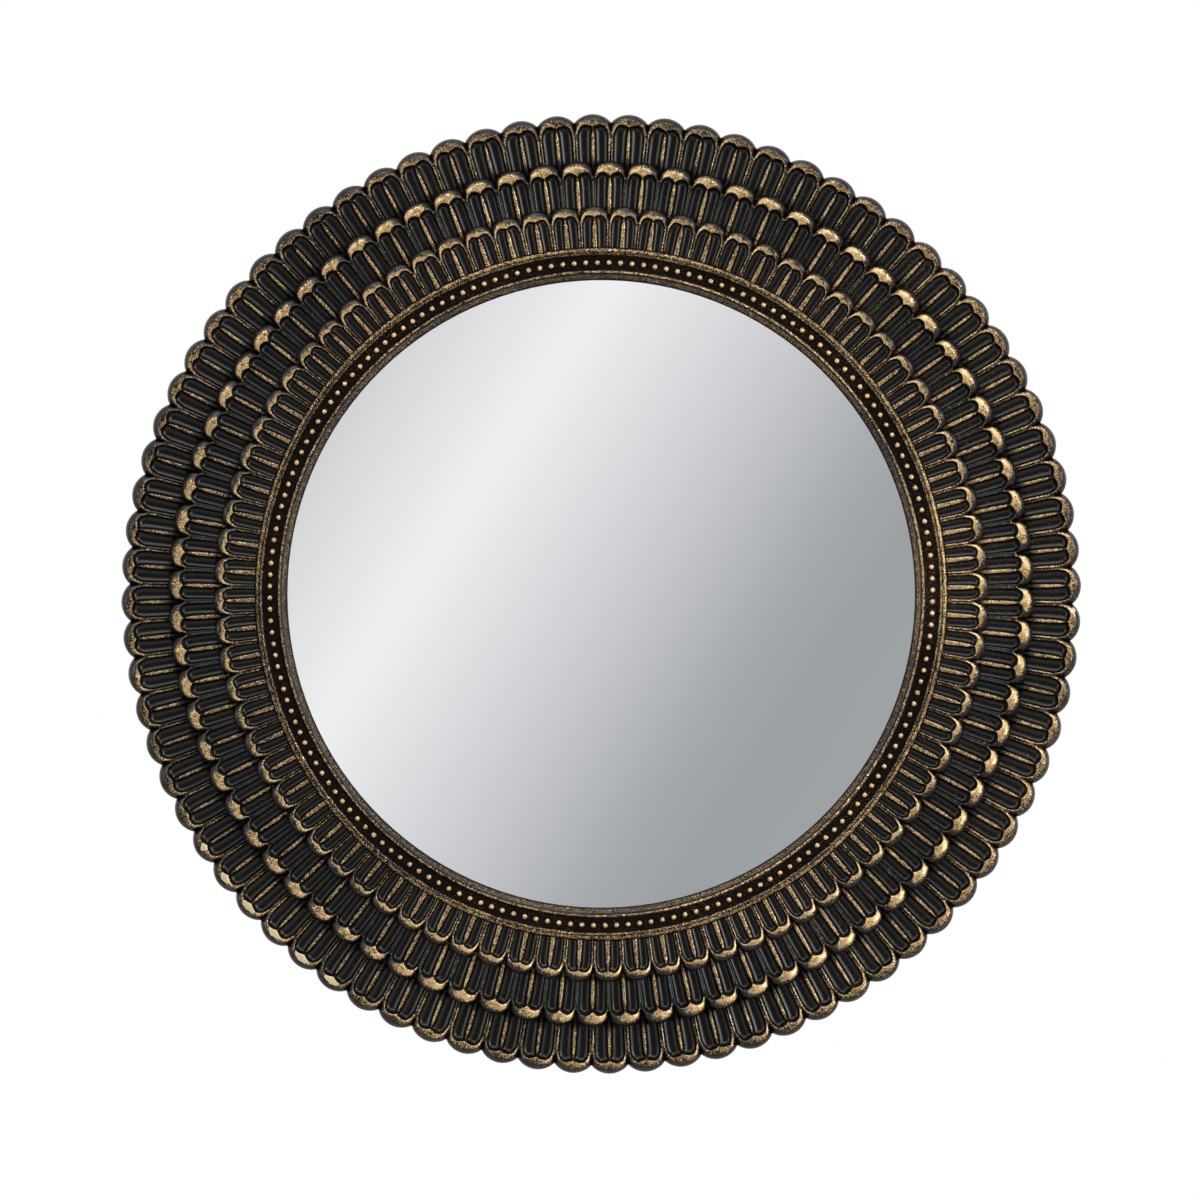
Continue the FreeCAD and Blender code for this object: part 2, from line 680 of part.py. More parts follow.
def pan_corners(seat):
    """List the section of a pan-head screw whose head bears at a depth."""
    back = f"{seat} - sizes.pan_head_height"
    return [
        ("0", back),
        ("sizes.pan_head_radius - sizes.pan_head_crown", back, "-places.pan_bulge"),
        ("sizes.pan_head_radius", f"{back} + sizes.pan_head_crown"),
        ("sizes.pan_head_radius", seat),
        ("sizes.screw_radius", seat),
        ("sizes.screw_radius", "places.pan_taper"),
        ("0", "places.pan_tip"),
    ]


def turn_buttons():
    """Make the turn buttons and the ring of screws that they turn on."""
    for number in range(sizes.screw_count):
        body = new_body(f"turn_button_{number + 1}", turn=f"sizes.button_turn + places.screw_pitch * {number}")
        leaf = new_sketch(body, "XZ_Plane", "leaf", offset="places.button_back")
        draw(leaf, [
            ("sizes.button_circle", "-sizes.button_half_width", "sizes.button_half_width"),
            ("sizes.button_circle", "sizes.button_half_width"),
            ("places.button_end", "sizes.button_half_width", "sizes.button_half_width"),
            ("places.button_end", "-sizes.button_half_width"),
        ])
        straight(body, "Pad", "leaf_pad", leaf, "sizes.button_thickness")
        tab = new_sketch(body, "XZ_Plane", "tab", offset="places.button_back")
        draw(tab, [
            ("places.button_middle - sizes.button_tab_length / 2", "places.button_tab_side"),
            ("places.button_middle + sizes.button_tab_length / 2", "places.button_tab_side"),
            ("places.button_middle + sizes.button_tab_length / 2", "sizes.button_half_width"),
            ("places.button_middle - sizes.button_tab_length / 2", "sizes.button_half_width"),
        ])
        straight(body, "Pad", "tab_pad", tab, "sizes.button_tab_height", reverse=True)
        hole = new_sketch(body, "XZ_Plane", "hole", offset="sizes.wall_gap")
        draw_circle(hole, "sizes.button_circle", "0", "places.clear_radius")
        straight(body, "Pocket", "pivot_hole", hole, "places.button_cut")
    body = new_body("turn_button_screws", turn="sizes.button_turn")
    body.AllowCompound = True
    parts = screw(body, "screw", "sizes.button_circle", "0", pan_corners("places.button_seat"),
                  "places.button_seat - sizes.pan_head_height")
    repeat(body, parts, "sizes.screw_count")


def hanger_strap(side, sign):
    """Make a strap that is rolled into an eye at its top end."""
    body = new_body(f"{side}_hanger_strap")
    middle = f"{sign}sizes.hanger_spread"
    plate = new_sketch(body, "XZ_Plane", "plate", offset="places.strap_back")
    draw(plate, [
        (f"{middle} + sizes.strap_width / 2", "sizes.hanger_height"),
        (f"{middle} - sizes.strap_width / 2", "sizes.hanger_height"),
        (f"{middle} - sizes.strap_width / 2", "places.strap_foot", "sizes.strap_end_bulge"),
        (f"{middle} + sizes.strap_width / 2", "places.strap_foot"),
    ])
    straight(body, "Pad", "plate_pad", plate, "sizes.strap_thickness")
    roll = new_sketch(body, "YZ_Plane", "roll", offset=f"{middle} + sizes.strap_width / 2")
    draw_circle(roll, "-places.hinge_depth", "sizes.hanger_height", "places.knuckle_radius")
    straight(body, "Pad", "roll_pad", roll, "sizes.strap_width", reverse=True)
    eye = new_sketch(body, "YZ_Plane", "eye", offset=f"{middle} + sizes.strap_width / 2 + sizes.overrun")
    draw_circle(eye, "-places.hinge_depth", "sizes.hanger_height", "places.knuckle_bore")
    straight(body, "Pocket", "eye_hole", eye, "sizes.strap_width + 2 * sizes.overrun")
    for level in LEVELS:
        hole = new_sketch(body, "XZ_Plane", f"{level}_hole", offset="sizes.wall_gap + sizes.overrun")
        draw_circle(hole, middle, f"places.{level}_screw", "places.clear_radius")
        straight(body, "Pocket", f"{level}_screw_hole", hole, "sizes.strap_thickness + 2 * sizes.overrun")


def hanger_ring(side, sign):
    """Make the wire ring that swings in a strap's eye: straight foot, two legs and a round top."""
    body = new_body(f"{side}_d_ring")
    middle = f"{sign}sizes.hanger_spread"
    path = new_sketch(body, "XZ_Plane", "path", offset="places.hinge_depth")
    draw(path, [
        (middle, "sizes.hanger_height"),
        (f"{middle} + places.ring_foot", "sizes.hanger_height", "places.corner_bulge"),
        (f"{middle} + sizes.ring_half_width", "places.ring_corner"),
        (f"{middle} + sizes.ring_half_width", "places.ring_shoulder", "sizes.ring_half_width"),
        (f"{middle} - sizes.ring_half_width", "places.ring_shoulder"),
        (f"{middle} - sizes.ring_half_width", "places.ring_corner", "places.corner_bulge"),
        (f"{middle} - places.ring_foot", "sizes.hanger_height"),
    ])
    wire = new_sketch(body, "YZ_Plane", "wire", offset=middle)
    draw_circle(wire, "-places.hinge_depth", "sizes.hanger_height", "sizes.ring_wire_radius")
    pipe = body.newObject("PartDesign::AdditivePipe", f"{body.Name}_bend")
    pipe.Profile = wire
    pipe.Spine = (path, [f"Edge{index + 1}" for index in range(path.GeometryCount)])
    doc.recompute()


def hanger_screws():
    """Make the four screws of the two straps."""
    body = new_body("hanger_screws")
    body.AllowCompound = True
    for side, sign in SIDES:
        for level in LEVELS:
            screw(body, f"{side}_{level}", f"{sign}sizes.hanger_spread", f"places.{level}_screw",
                  pan_corners("places.strap_back"), "places.strap_back - sizes.pan_head_height")


def wall_bumpers():
    """Make the rubber bumpers that keep the frame off the wall."""
    for number, corner in enumerate(("upper_right", "upper_left", "lower_left", "lower_right")):
        body = new_body(f"{corner}_wall_bumper", turn=f"sizes.bumper_turn + places.bumper_pitch * {number}")
        half = new_sketch(body, "XY_Plane", "section")
        section(half, [
            ("sizes.bumper_circle", "0"),
            ("sizes.bumper_circle + sizes.bumper_face_radius", "0"),
            ("sizes.bumper_circle + sizes.bumper_radius", "sizes.wall_gap"),
            ("sizes.bumper_circle", "sizes.wall_gap"),
        ])
        draw_axis(half, ("sizes.bumper_circle", "0"), ("sizes.bumper_circle", "-sizes.wall_gap"))
        turned(body, "Revolution", "foot", half, "Axis0")


def build():
    """Make every piece, from the wall forwards."""
    wall_bumpers()
    for side, sign in SIDES:
        hanger_strap(side, sign)
        hanger_ring(side, sign)
    hanger_screws()
    turn_buttons()
    base_ring()
    glass_and_packing()
    petal_ring("outer", sizes.petal_turn)
    petal_ring("middle", places.middle_turn, sizes.middle_screw_circle)
    petal_ring("inner", sizes.petal_turn, sizes.inner_screw_circle)
    beaded_rim()
    countersunk_screws("rim_screws", "sizes.rim_screw_circle")
    countersunk_screws("inner_ring_screws", "sizes.inner_screw_circle")
    countersunk_screws("middle_ring_screws", "sizes.middle_screw_circle")


def check_and_write():
    """Stop on a failed object or a bad shape, and otherwise write a file for each piece."""
    doc.recompute()
    for item in doc.Objects:
        if "Invalid" in item.State or "Error" in item.State:
            raise RuntimeError(f"{item.Label} failed: {item.State}")
    for node in nodes:
        if node.Shape.isNull() or not node.Shape.isValid():
            raise RuntimeError(f"{node.Label} has no valid shape")
    os.makedirs("parts", exist_ok=True)
    for node in nodes:
        node.Shape.exportStep(f"parts/{node.Label}.step")
        print(f"{node.Label}: {len(node.Shape.Solids)} solids, {node.Shape.Volume:.1f} mm3")


build()
check_and_write()
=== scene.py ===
import math

import bmesh
import bpy
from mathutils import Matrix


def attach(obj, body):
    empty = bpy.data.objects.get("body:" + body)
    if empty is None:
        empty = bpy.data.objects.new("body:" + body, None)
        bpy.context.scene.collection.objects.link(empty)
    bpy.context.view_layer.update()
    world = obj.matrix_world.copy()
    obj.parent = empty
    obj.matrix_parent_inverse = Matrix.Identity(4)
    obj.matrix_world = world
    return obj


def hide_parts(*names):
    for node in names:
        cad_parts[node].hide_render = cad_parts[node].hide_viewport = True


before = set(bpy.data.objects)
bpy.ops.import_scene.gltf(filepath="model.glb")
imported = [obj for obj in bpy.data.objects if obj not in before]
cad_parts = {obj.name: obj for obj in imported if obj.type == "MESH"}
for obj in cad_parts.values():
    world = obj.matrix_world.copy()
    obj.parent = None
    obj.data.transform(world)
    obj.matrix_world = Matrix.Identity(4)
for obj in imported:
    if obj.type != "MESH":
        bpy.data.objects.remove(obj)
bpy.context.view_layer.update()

scene = bpy.context.scene


# The studio. White all round to the camera and in reflections, dimmer as light, with a pale floor far below.
# Soft lamps stand all round the mirror, far enough aside that the glass doesn't show them from the front.
scene.view_settings.view_transform = "Standard"
FILL_LIGHT = 0.46
FLOOR_DROP = 0.95
FLOOR_SIZE = 7.0
FLOOR_PAINT = (0.86, 0.86, 0.85, 1)


class Wiring:
    """Short ways to add and join the nodes of a tree. A value is a link, a number or a colour."""

    def __init__(self, tree):
        self.nodes, self.links = tree.nodes, tree.links

    def feed(self, socket, value):
        if isinstance(value, bpy.types.NodeSocket):
            self.links.new(value, socket)
        elif value is not None:
            socket.default_value = value

    def maths(self, operation, first, second=None, third=None):
        node = self.nodes.new("ShaderNodeMath")
        node.operation = operation
        for socket, value in zip(node.inputs, (first, second, third)):
            self.feed(socket, value)
        return node.outputs[0]

    def vectors(self, operation, first, second=None, third=None):
        node = self.nodes.new("ShaderNodeVectorMath")
        node.operation = operation
        for socket, value in zip(node.inputs, (first, second, third)):
            self.feed(socket, value)
        return node.outputs["Value" if operation in ("DOT_PRODUCT", "LENGTH") else "Vector"]

    def spread(self, value, low, high, to_low=0.0, to_high=1.0):
        """Ease a value from to_low, at low and below, to to_high, at high and above."""
        node = self.nodes.new("ShaderNodeMapRange")
        node.interpolation_type = "SMOOTHSTEP"
        self.feed(node.inputs["Value"], value)
        for name, given in (("From Min", low), ("From Max", high), ("To Min", to_low), ("To Max", to_high)):
            self.feed(node.inputs[name], given)
        return node.outputs["Result"]

    def mix(self, factor, first, second):
        """Mix two colours."""
        node = self.nodes.new("ShaderNodeMix")
        node.data_type = "RGBA"
        self.feed(node.inputs["Factor"], factor)
        self.feed(node.inputs[6], first)
        self.feed(node.inputs[7], second)
        return node.outputs[2]

    def place(self):
        """Give the point on the piece, in metres."""
        return self.nodes.new("ShaderNodeTexCoord").outputs["Object"]

    def surface(self, **values):
        """Add the Principled shader and the output, with sockets given by name, _ for a space."""
        shader = self.nodes.new("ShaderNodeBsdfPrincipled")
        for name, value in values.items():
            self.feed(shader.inputs[name.replace("_", " ")], value)
        self.links.new(shader.outputs[0], self.nodes.new("ShaderNodeOutputMaterial").inputs[0])


def new_material(name):
    """Start an empty material, and give back the wiring of its nodes too."""
    material = bpy.data.materials.new(name)
    material.use_nodes = True
    material.node_tree.nodes.clear()
    return material, Wiring(material.node_tree)


def paint(piece, material):
    """Give a piece one material all over."""
    piece.data.materials.clear()
    piece.data.materials.append(material)


world = bpy.data.worlds.new("studio")
scene.world = world
world.use_nodes = True
tree = Wiring(world.node_tree)
path = tree.nodes.new("ShaderNodeLightPath").outputs
shown = tree.maths("MAXIMUM", path["Is Camera Ray"], path["Is Glossy Ray"])
shown = tree.maths("MAXIMUM", shown, path["Is Transmission Ray"])
background = tree.nodes["Background"].inputs
tree.feed(background["Color"], (1, 1, 1, 1))
tree.feed(background["Strength"], tree.spread(shown, 0.0, 1.0, FILL_LIGHT, 1.0))

bpy.ops.object.select_all(action="DESELECT")
bpy.ops.mesh.primitive_plane_add(size=FLOOR_SIZE, location=(0, 0, -FLOOR_DROP))
floor = bpy.context.object
floor.name = "floor"
material, tree = new_material("floor_paint")
tree.surface(Base_Color=FLOOR_PAINT, Roughness=0.8)
paint(floor, material)


def soft_box(name, place, size, watts):
    """Hang a square lamp that faces the middle of the mirror."""
    lamp = bpy.data.lights.new(name, "AREA")
    lamp.size = size
    lamp.energy = watts
    stand = bpy.data.objects.new(name, lamp)
    scene.collection.objects.link(stand)
    stand.location = place
    stand.rotation_euler = stand.location.to_track_quat("Z", "Y").to_euler()
    stand.visible_camera = False


soft_box("left_lamp", (-2.2, -1.5, 0.5), 0.9, 10)
soft_box("right_lamp", (2.2, -1.5, 0.5), 1.1, 37)
soft_box("top_lamp", (0.1, -1.5, 2.4), 2.2, 40)
soft_box("low_lamp", (0.2, -1.6, -2.0), 1.5, 11)

# A broad graded card hangs in front, seen in reflections only. The glass shows it as the photograph does:
# a pale band at the upper left that falls to grey at the lower right. Round that the card is dim, which keeps
# the lacquer deep, then grows lighter, and a bright hoop near its edge draws a line along each flute's wall.
CARD_DISTANCE = 3.5
CARD_SIZE = 12.0
BAND_SLANT = math.radians(33)
BAND_REACH = 0.553
BAND_SHADES = ((0.0, (0.10, 0.10, 0.105)), (0.285, (0.68, 0.69, 0.70)), (0.39, (0.93, 0.93, 0.94)),
               (0.50, (0.665, 0.67, 0.69)), (0.60, (0.42, 0.435, 0.45)), (0.65, (0.355, 0.375, 0.39)),
               (0.74, (0.38, 0.40, 0.41)), (1.0, (0.10, 0.10, 0.105)))
BAND_EDGE = (0.27, 0.42)
DIM_EDGE = (1.2, 3.0)
DIM_SHADE = (0.095, 0.085, 0.070, 1)
LIGHT_SHADE = (0.56, 0.57, 0.58, 1)
HOOP_INSIDE = (3.0, 3.8)
HOOP_OUTSIDE = (4.4, 5.2)
HOOP_SHADE = (0.74, 0.87, 1.0, 1)
HOOP_LIGHT = 3.4
bpy.ops.mesh.primitive_plane_add(size=CARD_SIZE, location=(0, -CARD_DISTANCE, 0),
                                 rotation=(math.pi / 2, 0, 0))
card = bpy.context.object
card.name = "reflection_card"
card.visible_camera = False
card.visible_diffuse = False
card.visible_shadow = False
material, tree = new_material("graded_card")
place = tree.place()
slant = tree.vectors("DOT_PRODUCT", place, (math.cos(BAND_SLANT), -math.sin(BAND_SLANT), 0))
band = tree.nodes.new("ShaderNodeValToRGB")
band.color_ramp.interpolation = "LINEAR"
stops = band.color_ramp.elements
while len(stops) < len(BAND_SHADES):
    stops.new(0.5)
for stop, (position, shade) in zip(stops, BAND_SHADES):
    stop.position = position
    stop.color = (*shade, 1)
tree.feed(band.inputs["Fac"], tree.maths("MULTIPLY_ADD", slant, 0.5 / BAND_REACH, 0.5))
middle = tree.vectors("LENGTH", place)
hoop = tree.maths("SUBTRACT", tree.spread(middle, *HOOP_INSIDE), tree.spread(middle, *HOOP_OUTSIDE))
shade = tree.mix(tree.spread(middle, *BAND_EDGE), band.outputs["Color"], DIM_SHADE)
shade = tree.mix(tree.spread(middle, *DIM_EDGE), shade, LIGHT_SHADE)
glow = tree.nodes.new("ShaderNodeEmission")
tree.feed(glow.inputs["Strength"], tree.maths("MULTIPLY_ADD", hoop, HOOP_LIGHT - 1, 1.0))
tree.feed(glow.inputs["Color"], tree.mix(hoop, shade, HOOP_SHADE))
tree.feed(tree.nodes.new("ShaderNodeOutputMaterial").inputs[0], glow.outputs[0])
paint(card, material)

# The camera stands square in front, as in the photograph, far enough off for the flat look of a long lens.
CAMERA_DISTANCE = 20.0
SENSOR_WIDTH = 36.0
PHOTO_PIXELS = 1200
PHOTO_CENTRE = (601.2, 593.9)
PHOTO_DIAMETER = 959.2
OVERALL = 0.61
PIXEL = OVERALL / PHOTO_DIAMETER
camera = bpy.data.objects.new("camera", bpy.data.cameras.new("camera"))
scene.collection.objects.link(camera)
scene.camera = camera
camera.data.sensor_width = SENSOR_WIDTH
camera.data.lens = SENSOR_WIDTH * CAMERA_DISTANCE / (PHOTO_PIXELS * PIXEL)
camera.location = ((PHOTO_PIXELS / 2 - PHOTO_CENTRE[0]) * PIXEL, -CAMERA_DISTANCE,
                   (PHOTO_CENTRE[1] - PHOTO_PIXELS / 2) * PIXEL)
camera.rotation_euler = (math.pi / 2, 0, 0)


# The outer row, one cast moulding of 80 petals, lacquered black with gold rubbed over what stands proud.
# A petal has a domed head like a hood, a rib down its middle, a round flute on each side and thin rims.
# Its carved form is laid out point by point, because its flutes, hood and gilding follow one another.
PETALS = 80
PITCH = 2 * math.pi / PETALS
SLOPE = math.tan(PITCH / 2)
VALLEY_ROUNDS = 20
ARCH_STEPS = 10
FLUTE_STEPS = 6
SIDE_STEPS = 5
HEAD_SHARES = (0.04, 0.10, 0.19, 0.31, 0.45, 0.59, 0.72, 0.83, 0.91, 0.97, 1.0)
LIP_BEVEL = 0.00035
HOOD_GAP = 0.0006
# Where, from the petal's middle at 0 to its border at 1, the rim falls away and the hood's foot draws back
RIM_FALL_SPAN = (0.25, 0.9)
FOOT_SPAN = (0.2, 0.9)
RIB_NARROWS = 0.65
FLOOR_REACH = 0.95
RIM_RIDGE = 0.45
WELD = 0.00002
SMOOTH_ANGLE = math.radians(60)
# How much of its neighbour's gold each narrow strip keeps. A share below 0 stays black under the flecks too.
# From a crown's top down to its edges the gold falls off: partly where the dry brush thins out, partly
# painted shade of the rounded crown.
CROWN_KEEPS, RIB_EDGE_KEEPS, LIP_EDGE_KEEPS = 0.80, 0.45, 0.8
RIM_TOP_KEEPS, RIM_EDGE_KEEPS, BORDER_KEEPS = 0.8, 0.4, 0.3
FLOOR_GOLD, BACK_GOLD = -0.1, -0.5
# Just below the hood the rib's gold darkens: painted shade where the hood shades the rib.
HOOD_SHADE, HOOD_SHADE_REACH = 0.6, 0.0030
LIP_LINE_SPAN = (0.02, 0.14)
LINE_END_LOSS, LINE_END_SPAN = 0.5, (0.85, 1.0)


def ease(value, low, high):
    """Rise smoothly from 0 at low to 1 at high."""
    share = min(max((value - low) / (high - low), 0), 1)
    return share * share * (3 - 2 * share)


def tip_line(row, across):
    """Give how far out the rounded tip reaches, at a distance across the petal."""
    half = row["tip"] * SLOPE
    bend = (half ** 2 + row["scallop"] ** 2) / (2 * row["scallop"])
    return row["tip"] - bend + math.sqrt(bend ** 2 - across ** 2)


def valley(row):
    """Find where the tip line meets the border with the next petal."""
    out = row["tip"]
    for _ in range(VALLEY_ROUNDS):
        out = tip_line(row, out * SLOPE)
    return out


def top(row, out, across):
    """Give the height over the wall of the petal's top, flutes apart."""
    # The rib's level, which falls away to the rims
    side = abs(across) / (out * SLOPE)
    along = min(max((out - row["root"]) / (row["cusp"] - row["root"]), 0), 1)
    rib = row["rib_root"] + (row["rib"] - row["rib_root"]) * along
    rib -= row["rim_fall"] * ease(side, *RIM_FALL_SPAN)
    # The hood, which rises from its lip to the crest, folds down to the sides and rounds off to the tip
    rise = min(max((out - row["cusp"]) / (row["crest_radius"] - row["cusp"]), 0), 1)
    fold = row["gable"] * side + (1 - row["gable"]) * side ** 2
    head = row["lip"] + (row["crest"] - row["lip"]) * math.sin(rise * math.pi / 2) - row["dome"] * fold
    inward = min(max((tip_line(row, across) - out) / (row["tip"] - row["crest_radius"]), 0), 1)
    head = row["edge"] + (head - row["edge"]) * math.sqrt(1 - (1 - inward) ** 2)
    # The step from one to the other, and the cleft between two heads
    foot = row["shoulder"] + (row["cusp"] - HOOD_GAP - row["shoulder"]) * (1 - ease(side, *FOOT_SPAN))
    height = rib + (head - rib) * ease(out, foot, row["cusp"])
    gap = min((1 - side) * out * SLOPE / row["crevice_width"], 1) if side < 1 else 0
    cleft = row["crevice"] * ease(out, row["shoulder"], valley(row))
    return height - cleft * (1 - math.sqrt(1 - (1 - gap) ** 2))


def rib_edge(row, out):
    """Give the rib's half width. It narrows to a point where it runs in under the hood."""
    full = row["rib_half"] + row["rib_spread"] * (row["cusp"] - out) / (row["cusp"] - row["root"])
    return full * (1 - RIB_NARROWS * ease(out, row["cusp"] - row["taper"], row["cusp"]))


def rim_edge(row, out):
    """Give how far from the petal's middle its rim begins."""
    return out * SLOPE - row["rim"]


class Petal:
    """The points, gold shares and faces of one petal on their way into a mesh."""

    def __init__(self):
        self.points, self.gold, self.faces = [], [], []

    def add(self, out, across, height, gold):
        self.points.append((out, -height, across))
        self.gold.append(gold)
        return len(self.points) - 1

    def bridge(self, first, second):
        for index in range(len(first) - 1):
            self.faces.append((first[index], first[index + 1], second[index + 1], second[index]))

    def seen(self, line):
        """Give each point of a line as its distance out and across."""
        return [(self.points[index][0], self.points[index][2]) for index in line]


def flute_edge(row):
    """List a flute's opening up the rib, round the arch and down the rim, and the point its floor ends at."""
    shoulder, cusp, root = row["shoulder"], row["cusp"], row["root"]
    outs = [root + (shoulder - root) * step / SIDE_STEPS for step in range(SIDE_STEPS + 1)]
    rib_side = [(out, rib_edge(row, out)) for out in outs]
    rib_side += [(out, rib_edge(row, out)) for out in ((shoulder + cusp) / 2, cusp - HOOD_GAP)]
    near, far = rib_edge(row, cusp), rim_edge(row, shoulder)
    middle, half = (near + far) / 2, (far - near) / 2
    arch = []
    for step in range(ARCH_STEPS):
        angle = math.pi * step / ARCH_STEPS
        if angle < math.pi / 2:
            out = cusp + (row["apex"] - cusp) * math.sin(angle) ** 2
        else:
            out = shoulder + (row["apex"] - shoulder) * math.sin(angle)
        arch.append((out, middle - half * math.cos(angle)))
    rim_side = [(out, rim_edge(row, out)) for out in reversed(outs)]
    return rib_side, arch, rim_side, (row["apex"] - half * FLOOR_REACH, middle)


def rib_gold(row, out):
    """Give the gold share on the rib. The brush doesn't reach in under the row above, and just below the hood
    the gold fades as painted shade of the hood.
    """
    hood_shade = HOOD_SHADE * ease(out, row["cusp"] - HOOD_SHADE_REACH, row["cusp"])
    return row["rib_gold"] * ease(out, *row["rib_reach"]) * (1 - hood_shade)


def rim_gold(row, out, sign):
    """Give the gold share on a rim. The rim on the clockwise side takes more of it than the other."""
    return row["rim_gold"][0 if sign < 0 else 1] * ease(out, *row["rim_reach"])


def lip_gold(row, out, sign):
    """Give the gold share along the edge of a flute: the hood's share on its lip, the rim's below it."""
    rim, lip = rim_gold(row, out, sign), row["lip_line"][0 if sign < 0 else 1]
    return rim + (lip - rim) * ease(out, row["shoulder"], (row["shoulder"] + row["cusp"]) / 2)


def hood_gold(row, share, spread):
    """Give the gold share on the hood, by how far on it is from lip to tip and how far from the middle."""
    side = 0 if spread < 0 else 1
    away = abs(spread)
    gold = row["hood_gold"] + row["bias"] * spread
    gold += (row["tip_gold"] - gold) * ease(share + row["lean"][side] * away, *row["fade"])
    gold *= 1 - ease(away, *row["sides"][side])
    line = row["lip_line"][side] * (1 - ease(share, *LIP_LINE_SPAN))
    return max(gold, line * (1 - LINE_END_LOSS * ease(away, *LINE_END_SPAN)))


def carve_flute(petal, row, contour, heart, sign):
    """Round a flute down from its opening, and give back the points down each side of its root end."""
    shape = [petal.points[index] for index in contour]
    floor = min(row["rib_root"], row["rib"]) - row["flute"]
    rib_end, rim_end = [contour[0]], [contour[-1]]
    for level in range(1, FLUTE_STEPS + 1):
        inset = 1 - math.cos(math.pi / 2 * level / FLUTE_STEPS)
        depth = math.sin(math.pi / 2 * level / FLUTE_STEPS)
        current = []
        for out, minus_height, across in shape:
            goal = out if out < row["shoulder"] + LIP_BEVEL else heart[0]
            middle = sign * (rib_edge(row, goal) + rim_edge(row, goal)) / 2
            height = -minus_height + (floor + minus_height) * depth
            current.append(petal.add(out + (goal - out) * inset, across + (middle - across) * inset,
                                     height, FLOOR_GOLD))
        petal.bridge(contour, current)
        contour = current
        rib_end.append(contour[0])
        rim_end.append(contour[-1])
    return rib_end, rim_end


def raise_hood(petal, row, line):
    """Dome the head from the edge of the arches out to the scalloped tip, and give back the tip's points."""
    reach = valley(row)
    starts = petal.seen(line)
    for share in HEAD_SHARES:
        current = []
        for index, (out, across) in enumerate(starts):
            spread = across / (out * SLOPE)
            goal_across = spread * reach * SLOPE
            goal = tip_line(row, goal_across)
            here, there = out + (goal - out) * share, across + (goal_across - across) * share
            if index in (0, len(starts) - 1):
                there = math.copysign(here * SLOPE, across)
            current.append(petal.add(here, there, top(row, here, there), hood_gold(row, share, spread)))
        petal.bridge(line, current)
        line = current
    return line


def build_petal(row):
    """Lay out one petal: ribs, flutes, rims and hood on top, and the closed back under them."""
    petal = Petal()
    rib_side, arch, rim_side, heart = flute_edge(row)
    outs = [out for out, _ in rib_side]
    spine = [petal.add(out, 0, top(row, out, 0) + row["rib_crown"], rib_gold(row, out)) for out in outs]
    spine.append(petal.add(row["cusp"], 0, top(row, row["cusp"], 0), row["hood_gold"]))
    lines, ends = {}, {}
    for sign in (-1, 1):
        def place(out, across, drop, gold):
            return petal.add(out, sign * across, top(row, out, across) - drop, gold)

        def stretch(out, across):
            grow = 1 + LIP_BEVEL / math.hypot(out - heart[0], across - heart[1])
            return heart[0] + (out - heart[0]) * grow, heart[1] + (across - heart[1]) * grow

        crown = [place(out, across - LIP_BEVEL, 0, rib_gold(row, out) * CROWN_KEEPS)
                 for out, across in rib_side]
        edge = [place(out, across, LIP_BEVEL, rib_gold(row, out) * RIB_EDGE_KEEPS)
                for out, across in rib_side]
        lip = [place(row["cusp"], rib_edge(row, row["cusp"]) - LIP_BEVEL, 0, row["hood_gold"])]
        edge_arch = []
        for index, (out, across) in enumerate(arch):
            if index:
                lip.append(place(*stretch(out, across), 0, lip_gold(row, out, sign)))
            edge_arch.append(place(out, across, LIP_BEVEL, lip_gold(row, out, sign) * LIP_EDGE_KEEPS))
        rim_top = [place(out, across + LIP_BEVEL, 0, rim_gold(row, out, sign) * RIM_TOP_KEEPS)
                   for out, across in rim_side]
        edge_rim = [place(out, across, LIP_BEVEL, rim_gold(row, out, sign) * RIM_EDGE_KEEPS)
                    for out, across in rim_side]
        ridge = [place(out, out * SLOPE - row["rim"] * RIM_RIDGE, -row["rim_crown"], rim_gold(row, out, sign))
                 for out, _ in rim_side]
        border = [place(out, out * SLOPE, row["rim_valley"], rim_gold(row, out, sign) * BORDER_KEEPS)
                  for out, _ in rim_side]
        petal.bridge(spine, crown + lip[:1])
        outline = crown + lip + rim_top
        contour = edge + edge_arch + edge_rim
        petal.bridge(outline, contour)
        petal.bridge(rim_top, ridge)
        petal.bridge(ridge, border)
        rib_end, rim_end = carve_flute(petal, row, contour, heart, sign)
        lines[sign] = lip + [rim_top[0], ridge[0], border[0]]
        ends[sign] = [outline[0], *rib_end, *reversed(rim_end), outline[-1], ridge[-1], border[-1]]

    line = raise_hood(petal, row, list(reversed(lines[-1])) + [spine[-1]] + lines[1])
    tips = petal.seen(line)
    for stop, height in ((row["tip"], row["under"]), (row["step"], row["under"]), (row["step"], row["seat"]),
                         (row["root"], row["seat"])):
        current = [petal.add(min(out, stop), across * min(out, stop) / out, height, BACK_GOLD)
                   for out, across in tips]
        petal.bridge(line, current)
        line = current
    petal.faces.append((*reversed(ends[-1]), spine[0], *ends[1], *reversed(line)))
    return petal


